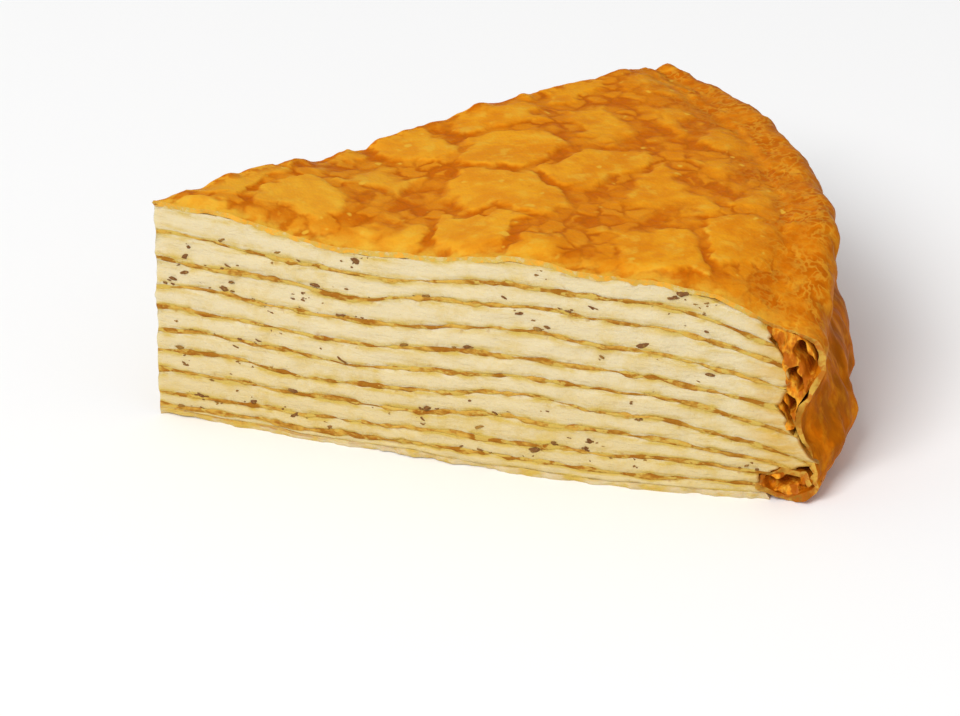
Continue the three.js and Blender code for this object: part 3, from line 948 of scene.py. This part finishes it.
def layer_cream():
    """Set cream: ivory with warm smears near the crepes, drawn by the knife along the cut."""
    material, tree, colours = new_material("layer_cream")
    cut = map_place(tree, "cut")
    out, height = node(tree, "ShaderNodeSeparateXYZ", {0: cut}).outputs[:2]
    smear = noise(stretched(cut, (0.4, 1.6, 1.0)), 2.2 * MM, 3.0, 0.6)
    cloud = noise(cut, 5 * MM, 4.0, 0.65)
    grain = noise(cut, 0.6 * MM, 2.0, 0.6)
    dab = noise(cut, 1.3 * MM, 3.0)
    from_middle = maths("ABSOLUTE", maths("SUBTRACT", laid_value(tree, "depth_in_layer"), 0.5))
    near_crepe = ramp(from_middle, 0.12, 0.52)
    warmth_and_reflection = times(near_crepe, ramp(smear, 0.38, 0.62))
    # Warmer low in the stack: this stands partly for painted warm light reflected from below
    warmth_and_reflection = maths("ADD", warmth_and_reflection, ramp(height, 0.0, 22 * MM, 0.35, 0.0))
    warmth_and_reflection = maths("ADD", warmth_and_reflection, ramp(cloud, 0.45, 0.7, 0.0, 0.4))
    at_rim = ramp(out, 91 * MM, 100 * MM)
    colour = painted(
        colours.cream,
        (warmth_and_reflection, colours.warm_cream),
        (times(times(near_crepe, ramp(dab, 0.6, 0.72)), 0.45), colours.crepe_line),
        (times(at_rim, ramp(smear, 0.3, 0.6, 0.2, 0.8)), colours.crepe_pale),
        (laid_value(tree, "at_end"), colours.crepe_line),
    )
    inputs = {
        "Base Color": colour,
        "Roughness": ramp(smear, 0.3, 0.7, 0.38, 0.58),
        "Specular IOR Level": 0.2,
        "Subsurface Weight": 0.25,
        "Subsurface Radius": (1.0, 0.8, 0.45),
        "Subsurface Scale": 2.0 * MM,
    }
    return finished(material, inputs, maths("ADD", times(smear, 0.7), times(grain, 0.3)), 0.5 * MM)


def dark_bits():
    """Dark brown bits, each a little different."""
    material, tree, colours = new_material("dark_bits")
    place = object_place(tree)
    grain = noise(place, 0.4 * MM)
    colour = painted(
        colours.bits,
        (ramp(noise(place, 4 * MM), 0.4, 0.75, 0.0, 0.4), colours.crepe_pale),
        (ramp(grain, 0.5, 0.8, 0.0, 0.3), colours.warm_cream),
    )
    inputs = {"Base Color": colour, "Roughness": 0.5, "Specular IOR Level": 0.05}
    return finished(material, inputs, grain, 0.1 * MM)


def pale_floor():
    """Pale floor with faint clouds."""
    material, tree, colours = new_material("pale_floor")
    shade = [channel * FLOOR_SHADE for channel in colours.floor]
    colour = mixed(noise(object_place(tree), FLOOR_CLOUD), colours.floor, shade)
    return finished(material, {"Base Color": colour, "Roughness": 0.8})


# The pieces


def shape_layer(piece, upper, lower, lap, proud, wander, seed):
    """Bends a flat slab into one layer between two faces of crepes, each a layer and a side."""
    flat = mesh_points(piece)
    along = (flat[:, 0] + 1.0) / 2.0
    across = np.sin(flat[:, 1] * np.pi / 2.0)
    depth = flat[:, 2]
    low_end, high_end = layer_end(*lower), layer_end(*upper)
    r = along * (low_end + (high_end - low_end) * depth)
    ragged = rumple(seed, depth * END_DEPTH, across * END_ARC, END_LUMP)
    hidden = 1.0 - bell(1.0 - np.abs(across), END_WIDTH)
    r += (wander * ragged - END_CLEARANCE * hidden) * smoothstep(along, END_START, 1.0)
    low = crepe_face(*lower, r, across) - lap
    high = crepe_face(*upper, r, across) + lap
    z = low + (high - low) * depth
    points = plan(r, across, z, proud(r, across, z, depth))
    points[:, 0] -= TIP_WANDER * rumples(TIP_LUMPS, z, 0.0) * bell(r, TIP_SPREAD)
    move_points(piece, points)
    lay_map(piece, "cut", np.column_stack((r, z)))
    lay_values(piece, "depth_in_layer", depth)
    lay_values(piece, "at_end", smoothstep(along, END_FACE, 1.0))
    close_tip(piece, outward=True)
    smooth(piece, LAYER_SMOOTH)


class CAKE_OT_cream_layers(bpy.types.Operator):
    """Models the ten layers of cream between the crepes"""

    bl_idname = "cake.cream_layers"
    bl_label = "Cream layers"

    def execute(self, context):
        material = layer_cream()
        for layer in range(len(CREAM_SHARES)):
            self.make_layer(context, layer, material)
        return {"FINISHED"}

    def make_layer(self, context, layer, material):
        bulge = context.scene.cake_sizes.cream_bulge

        def proud(r, across, z, depth):
            swelling = np.sqrt(np.clip(4.0 * depth * (1.0 - depth), 0.0, 1.0))
            up = z + across * FAR_CUT_SHIFT
            marks = {}
            rough = 0.0
            for kind, seed, stretch, length, height in CREAM_MARKS:
                marks[kind] = rumple(seed + CREAM_SEEDS * layer, r * stretch, up, length)
                rough = rough + height * marks[kind]
            rough = rough * (EDGE_ROUGHNESS + (1.0 - EDGE_ROUGHNESS) * swelling)
            return bulge * swelling * (USUAL_BULGE + DAB_BULGE * marks["dabs"]) + rough

        name = f"cream_layer_{layer + 1:02d}"
        piece = flat_slab(name, LAYER_ROWS, LAYER_COLUMNS, CREAM_STEPS)
        upper, lower = (layer, -1), (layer + 1, 1)
        shape_layer(piece, upper, lower, CREAM_LAP, proud, CREAM_END_WANDER, CREAM_END_SEED + layer)
        dress(piece, "cream", [f"cream_{layer + 1:02d}"], material)


class CAKE_OT_crepe_layers(bpy.types.Operator):
    """Models the nine crepes inside the stack and the one that it stands on"""

    bl_idname = "cake.crepe_layers"
    bl_label = "Crepe layers"

    def execute(self, context):
        material = crepe_edge("crepe_edge", False)
        for layer in range(1, BASE_LAYER):
            self.make_layer(layer, f"{layer:02d}", material)
        self.make_layer(BASE_LAYER, "base", crepe_edge("base_edge", True))
        return {"FINISHED"}

    def make_layer(self, layer, number, material):
        def proud(r, across, z, depth):
            reach = cut_rumples(CREPE_REACH, r, across, CREPE_SEEDS * layer)
            raggedness = BASE_RAGGEDNESS if layer == BASE_LAYER else 1.0
            rounding = (2.0 * depth - 1.0) ** 2
            return CREPE_PROUD + raggedness * reach - CREPE_ROUNDING * rounding

        piece = flat_slab(f"crepe_layer_{number}", LAYER_ROWS, LAYER_COLUMNS, CREPE_STEPS)
        upper, lower = (layer, 1), (layer, -1)
        shape_layer(piece, upper, lower, 0.0, proud, CREPE_END_WANDER, CREPE_END_SEED + layer)
        dress(piece, "crepe", [f"crepe_{number}"], material)


def top_section(along, across):
    """Radius and height of the top crepe's outside, from the tip over the roll and down to the hem."""
    lengths = np.array((ROLL_START, ROLL_LENGTH, WALL_TOP - WALL_FOOT, HEM_LENGTH))
    stops = np.concatenate(([0.0], np.cumsum(lengths)))
    run = along * stops[-1]
    dome, roll, wall, hem = (np.clip((run - stops[i]) / lengths[i], 0.0, 1.0) for i in range(4))

    r = dome * ROLL_START
    z = TIP_HEIGHT + ripple(1.0, r, across) + edge_rise(r, across)
    path = smooth_path(ROLL_SECTION, roll) * MM
    ahead = smooth_path(ROLL_SECTION, np.minimum(1.0, roll + SLOPE_STEP))
    ahead = ahead - smooth_path(ROLL_SECTION, roll - SLOPE_STEP)
    heading = ahead / np.linalg.norm(ahead, axis=1)[:, None]
    rise = pleat(path[:, 1], across) * roll
    left_over = ripple(1.0, path[:, 0], across) + edge_rise(path[:, 0], across) * (1.0 - roll)
    wall_z = WALL_TOP + (WALL_FOOT - WALL_TOP) * wall
    wall_r = WALL_TOP_RADIUS + WALL_FLARE * (1.0 - wall_z / WALL_TOP) + pleat(wall_z, across)
    hem_path = smooth_path(HEM_SECTION, hem) * MM
    for axis, (seed, height, length) in enumerate(HEM_WAVES):
        hem_path[:, axis] += height * hem * rumple(seed, run, across * HEM_ARC, length)
    swing = (wall_r - HEM_SECTION[0][0] * MM) * (1.0 - hem) ** 2

    r = np.where(roll > 0.0, path[:, 0] - rise * heading[:, 1], r)
    z = np.where(roll > 0.0, path[:, 1] + rise * heading[:, 0] + left_over, z)
    r = np.where(wall > 0.0, wall_r, r)
    z = np.where(wall > 0.0, wall_z, z)
    r = np.where(hem > 0.0, hem_path[:, 0] + swing, r)
    z = np.where(hem > 0.0, hem_path[:, 1], z)
    return r, z, run, hem


def relief_nodes():
    """Nodes that raise the islands of the browned crepe over its lines, on the same pattern as the colour."""
    tree = bpy.data.node_groups.new("crepe_relief", "GeometryNodeTree")
    for way in ("INPUT", "OUTPUT"):
        tree.interface.new_socket("Geometry", in_out=way, socket_type="NodeSocketGeometry")
    start = tree.nodes.new("NodeGroupInput")
    end = tree.nodes.new("NodeGroupOutput")
    kind = "GeometryNodeInputNamedAttribute"
    place = node(tree, kind, {"Name": "flat_crepe"}, data_type="FLOAT_VECTOR").outputs[0]
    share = node(tree, kind, {"Name": "relief"}, data_type="FLOAT").outputs[0]
    pattern = browning(place)
    lace = maths("SUBTRACT", pattern["ring"], pattern["dark"])
    island = maths("SUBTRACT", 1.0, pattern["band"])
    height = times(maths("ADD", times(lace, LACE_DEPTH), island), share)
    height = times(height, bpy.context.scene.cake_sizes.island_rise)
    normal = tree.nodes.new("GeometryNodeInputNormal").outputs[0]
    offset = node(tree, "ShaderNodeVectorMath", {0: normal, "Scale": height}, operation="SCALE")
    inputs = {"Geometry": start.outputs[0], "Offset": offset.outputs[0]}
    moved = node(tree, "GeometryNodeSetPosition", inputs)
    tree.links.new(moved.outputs[0], end.inputs[0])
    return tree


class CAKE_OT_top_crepe(bpy.types.Operator):
    """Models the browned crepe that covers the top, rolls over the rim and is tucked under"""

    bl_idname = "cake.top_crepe"
    bl_label = "Browned top crepe"

    def execute(self, context):
        piece = flat_grid("browned_top_crepe", TOP_ROWS, TOP_COLUMNS)
        self.shape(piece, context.scene.cake_sizes.crumple)
        close_tip(piece, outward=False)
        self.raise_relief(piece)
        self.thicken(piece)
        smooth(piece, CREPE_SMOOTH)
        dress(piece, "browned_crepe", ["crepe_top"], browned_crepe(), cut_crepe())
        return {"FINISHED"}

    def shape(self, piece, crumple_height):
        """Bends the flat grid over the slice, and lays the maps and values for its materials."""
        flat = mesh_points(piece)
        along = (flat[:, 0] + 1.0) / 2.0
        across = flat[:, 1]
        arc = across * WEDGE_ANGLE / 2.0
        girth = arc * RADIUS
        r, z, run, hem = top_section(along, across)
        edge = bell(1.0 - np.abs(across), CUT_EDGE)
        side = np.where(across > 0.0, FAR_EDGE_SHIFT, 0.0)
        fold = smoothstep(run, *FOLD_RUN)
        loose = smoothstep(run, *LOOSE_RUN)
        fray = rumples(EDGE_FRAY, run, side) * (1.0 + FOLD_FRAY * fold)
        lip = np.sqrt(hem) * (HEM_LIP + rumples(LIP_WAVES, run, side))
        points = plan(r, across, z, TOP_PROUD + edge * (fray + lip))
        crumple = 0.0
        for seed, share, stretch, length in CREPE_CRUMPLES:
            crumple = crumple + share * rumple(seed, run * stretch, girth, length)
        outward = np.column_stack((np.cos(arc), np.sin(arc), np.full_like(arc, CRUMPLE_RISE)))
        points += outward * (crumple_height * loose * (1.0 - HEM_CALM * hem) * crumple)[:, None]
        points[:, 2] = np.maximum(points[:, 2], FLOOR_GAP)
        move_points(piece, points)
        lay_map(piece, "flat_crepe", np.column_stack((run * np.cos(arc), run * np.sin(arc))))
        lay_map(piece, "hanging", np.column_stack((run, girth)))
        near_cut = bell(run * (WEDGE_ANGLE / 2.0 - np.abs(arc)), CUT_STRIP) * (1.0 - loose)
        lay_values(piece, "at_cut", near_cut * (across < 0.0))
        lay_values(piece, "at_far_cut", near_cut * (across > 0.0))
        lay_values(piece, "at_fold", fold)
        relief = np.minimum(1.0, r / RELIEF_START) * (1.0 - SIDE_CALM * loose) * (1.0 - hem) ** 2
        lay_values(piece, "relief", relief)
        uneven = edge * (TOP_UNEVEN + FOLD_UNEVEN * fold) * rumples(EDGE_SWELLING, run, side)
        self.weigh(piece, "thick", np.clip(USUAL_WEIGHT + uneven, *WEIGHT_LIMITS))

    def weigh(self, piece, name, weights):
        group = piece.vertex_groups.new(name=name)
        for index, weight in enumerate(weights.tolist()):
            group.add([index], weight, "REPLACE")

    def raise_relief(self, piece):
        tree = relief_nodes()
        apply_modifier(piece, "NODES", node_group=tree)
        bpy.data.node_groups.remove(tree)

    def thicken(self, piece):
        """Gives the sheet its thickness and the material of its cut edge, and thins the hidden inside."""
        inside = piece.vertex_groups.new(name="inside")
        piece.data.materials.append(None)
        piece.data.materials.append(None)
        apply_modifier(
            piece,
            "SOLIDIFY",
            thickness=CREPE_THICKNESS / USUAL_WEIGHT,
            vertex_group="thick",
            offset=-1.0,
            shell_vertex_group=inside.name,
            material_offset_rim=1,
        )
        apply_modifier(piece, "DECIMATE", ratio=INSIDE_KEPT, vertex_group=inside.name)


def hollow_depth(r, z):
    """Depth of the hollows between the folds at a cut, at this radius and height."""
    deepest = np.zeros_like(r)
    for hollow in FOLD_HOLLOWS:
        first, last = np.array(hollow["start"]) * MM, np.array(hollow["end"]) * MM
        span = last - first
        share = ((r - first[0]) * span[0] + (z - first[1]) * span[1]) / (span @ span)
        share = np.clip(share, 0.0, 1.0)
        away = np.hypot(r - first[0] - share * span[0], z - first[1] - share * span[1])
        width = hollow["width"] * MM
        depth = hollow["depth"] * MM * smoothstep(away, width, HOLLOW_BED * width)
        deepest = np.maximum(deepest, depth)
    return deepest


class CAKE_OT_rim_folds(bpy.types.Operator):
    """Models the crumpled crepe that is folded inside the rim, with its hollows at the cuts"""

    bl_idname = "cake.rim_folds"
    bl_label = "Folds inside the rim"

    def execute(self, context):
        material = folded_crepe()
        for name, first, last, seed in FOLDS:
            self.make_fold(name, first, last, seed, material)
        return {"FINISHED"}

    def make_fold(self, name, first, last, seed, material):
        piece = flat_slab(name, FOLD_ROWS, FOLD_COLUMNS, FOLD_STEPS)
        flat = mesh_points(piece)
        share = (flat[:, 0] + 1.0) / 2.0
        across = np.sin(flat[:, 1] * np.pi / 2.0)
        start, end = smooth_path(first, share) * MM, smooth_path(last, share) * MM
        fullness = FOLD_CORE + (1.0 - FOLD_CORE) * bell(1.0 - np.abs(across), END_WIDTH)
        r, z = (start + (end - start) * (flat[:, 2] * fullness)[:, None]).T
        arc = across * HEM_ARC
        crumple = 0.0
        for step, (height, out, up, length) in enumerate(FOLD_CRUMPLES):
            crumple = crumple + height * rumple(seed + step, r * out + arc, z * up, length)
        bent_r = r + FOLD_BEND[0] * rumple(seed + 2, r + arc, z, FOLD_BEND_LENGTH)
        bent_z = z + FOLD_BEND[1] * rumple(seed + 3, r + arc, z, FOLD_BEND_LENGTH)
        usual, change = HOLLOW_SHARES
        depth = usual + change * rumple(seed + 4, r + arc, z, HOLLOW_LENGTH)
        hollow = hollow_depth(bent_r, bent_z) * depth
        sunk = FOLD_SUNK * smoothstep(flat[:, 2], FOLD_SUNK_END, 0.0)
        move_points(piece, plan(r, across, z, crumple - hollow - sunk))
        # How deep each point lies in a hollow, which the folded crepe uses to paint shade into its colour
        lay_values(piece, "hollow_shade_in_fold", np.minimum(1.0, hollow / HOLLOW_SHADE))
        close_tip(piece, outward=True)
        smooth(piece, CREPE_SMOOTH)
        dress(piece, "browned_crepe", ["crepe_top"], material)


class CAKE_OT_cream_bits(bpy.types.Operator):
    """Models the dark bits that show in the cream at both cuts"""

    bl_idname = "cake.cream_bits"
    bl_label = "Bits in the cream"

    def execute(self, context):
        sizes = context.scene.cake_sizes
        draw = np.random.default_rng(BIT_SEED)
        bit = self.make_bit()
        copies = [bit]
        for side in (-1.0, 1.0):
            while len(copies) <= sizes.bits_per_cut * (side + 3.0) / 2.0:
                copies.extend(self.place_cluster(bit, side, draw, sizes.bit_size))
        bpy.data.objects.remove(copies.pop(0))
        select_only(*copies)
        bpy.ops.object.join()
        piece = bpy.context.active_object
        piece.name = "cream_bits"
        piece.data.name = "cream_bits"
        bpy.ops.object.transform_apply(location=True, rotation=True, scale=True)
        smooth(piece, BIT_SMOOTH)
        dress(piece, "cream", [], dark_bits())
        return {"FINISHED"}

    def make_bit(self):
        """One round bit, which every copy roughens in its own way."""
        bpy.ops.object.select_all(action="DESELECT")
        bpy.ops.mesh.primitive_ico_sphere_add(subdivisions=2, radius=1.0)
        return bpy.context.active_object

    def place_cluster(self, bit, side, draw, usual):
        """One larger bit, often with smaller ones about it."""
        layer = draw.integers(len(CREAM_SHARES) - 1)
        zone = TIP_ZONE if draw.random() < TIP_SHARE else RIM_ZONE
        r = draw.uniform(*zone)
        share = draw.beta(*BIT_HEIGHTS)
        largest = usual * min(LARGEST_BIT, LARGE_BIT * draw.lognormal(0.0, BIT_SPREAD))
        made = []
        for number in range(1 + draw.poisson(CLUSTER_COUNT)):
            size = largest if number == 0 else usual * draw.uniform(*SMALL_BITS)
            out = (r if number == 0 else r + draw.normal(0.0, CLUSTER_REACH[0])) * MM
            height = share if number == 0 else share + draw.normal(0.0, CLUSTER_REACH[1])
            made.append(self.place_copy(bit, side, draw, layer, out, height, size))
        return made

    def place_copy(self, bit, side, draw, layer, out, share, size):
        r = np.array([max(out, BIT_START)])
        across = np.array([side])
        top = crepe_face(layer, -1, r, across)
        bottom = crepe_face(layer + 1, 1, r, across)
        z = bottom + (top - bottom) * np.clip(share, *BIT_LIMITS)
        size = min(size, BIT_ROOM * float(top[0] - bottom[0]))
        copy = bit.copy()
        copy.data = bit.data.copy()
        points = mesh_points(copy)
        u = points[:, 0] + BIT_OFFSET
        v = points[:, 1] + BIT_SLANT * points[:, 2] + BIT_OFFSET
        rough = rumple(draw.integers(BIT_KINDS), u, v, BIT_LUMP_LENGTH)
        move_points(copy, points * (1.0 + BIT_LUMPS * rough)[:, None])
        bpy.context.collection.objects.link(copy)
        lean = Euler((draw.uniform(0, BIT_TURN), draw.normal(0, BIT_LEAN), side * WEDGE_ANGLE / 2.0))
        length = size * draw.uniform(*BIT_LENGTH)
        height = size * draw.uniform(*BIT_HEIGHT)
        shape = Matrix.Diagonal((length, size * BIT_DEPTH, height, 1.0))
        spot = plan(r, across, z, BIT_PROUD)[0]
        copy.matrix_world = Matrix.Translation(Vector(spot)) @ lean.to_matrix().to_4x4() @ shape
        return copy


class CAKE_OT_stage(bpy.types.Operator):
    """Sets the pale floor, the soft light and the camera"""

    bl_idname = "cake.stage"
    bl_label = "Stage"

    def execute(self, context):
        self.lay_floor()
        self.light_room(context)
        self.hang_panel("key", KEY_PLACE, KEY_SIZE, KEY_POWER)
        self.stand_camera(context)
        context.scene.view_settings.view_transform = "Standard"
        return {"FINISHED"}

    def lay_floor(self):
        bpy.ops.object.select_all(action="DESELECT")
        bpy.ops.mesh.primitive_plane_add(size=FLOOR_SIZE, location=(0.0, 0.0, -FLOOR_DROP))
        floor = bpy.context.active_object
        floor.name = "floor"
        floor.data.materials.append(pale_floor())

    def light_room(self, context):
        world = context.scene.world or bpy.data.worlds.new("soft_room")
        context.scene.world = world
        world.use_nodes = True
        inputs = {"Color": (1.0, 1.0, 1.0, 1.0), "Strength": ROOM_LIGHT}
        fill(world.node_tree, world.node_tree.nodes["Background"], inputs)

    def hang_panel(self, name, place, size, power):
        light = bpy.data.lights.new(name, "AREA")
        light.size = size
        light.energy = power
        panel = bpy.data.objects.new(name, light)
        panel.location = place
        panel.rotation_euler = (-Vector(place)).to_track_quat("-Z", "Y").to_euler()
        bpy.context.collection.objects.link(panel)

    def stand_camera(self, context):
        a, e = CAMERA_AZIMUTH, CAMERA_ELEVATION
        back = Vector((math.sin(a) * math.cos(e), -math.cos(a) * math.cos(e), math.sin(e)))
        aside = Vector((math.cos(a), math.sin(a), 0.0))
        up = back.cross(aside)
        data = bpy.data.cameras.new("camera")
        data.sensor_width = SENSOR_WIDTH
        data.lens = LENS
        camera = bpy.data.objects.new("camera", data)
        camera.location = Vector((TIP[0], TIP[1], 0.0)) + back * CAMERA_DISTANCE
        camera.location += aside * CAMERA_ASIDE + up * CAMERA_RISE
        camera.rotation_euler = Matrix((aside, up, back)).transposed().to_euler()
        context.collection.objects.link(camera)
        context.scene.camera = camera


class CAKE_PT_slice(bpy.types.Panel):
    """Lists the pieces of the slice with their sizes and colours"""

    bl_label = "Crepe cake slice"
    bl_idname = "CAKE_PT_slice"
    bl_space_type = "VIEW_3D"
    bl_region_type = "UI"
    bl_category = "Crepe cake"

    def draw(self, context):
        for group in (context.scene.cake_sizes, context.scene.cake_colours):
            box = self.layout.box()
            for name in group.__annotations__:
                box.prop(group, name)
        for operator in OPERATORS:
            self.layout.operator(operator.bl_idname)


OPERATORS = (
    CAKE_OT_cream_layers,
    CAKE_OT_crepe_layers,
    CAKE_OT_top_crepe,
    CAKE_OT_rim_folds,
    CAKE_OT_cream_bits,
    CAKE_OT_stage,
)
CLASSES = (CakeSizes, CakeColours, *OPERATORS, CAKE_PT_slice)


def register():
    for made in CLASSES:
        bpy.utils.register_class(made)
    bpy.types.Scene.cake_sizes = PointerProperty(type=CakeSizes)
    bpy.types.Scene.cake_colours = PointerProperty(type=CakeColours)


def unregister():
    del bpy.types.Scene.cake_colours
    del bpy.types.Scene.cake_sizes
    for made in reversed(CLASSES):
        bpy.utils.unregister_class(made)


def main():
    register()
    bpy.ops.cake.cream_layers()
    bpy.ops.cake.crepe_layers()
    bpy.ops.cake.top_crepe()
    bpy.ops.cake.rim_folds()
    bpy.ops.cake.cream_bits()
    bpy.ops.cake.stage()


if __name__ == "__main__":
    main()
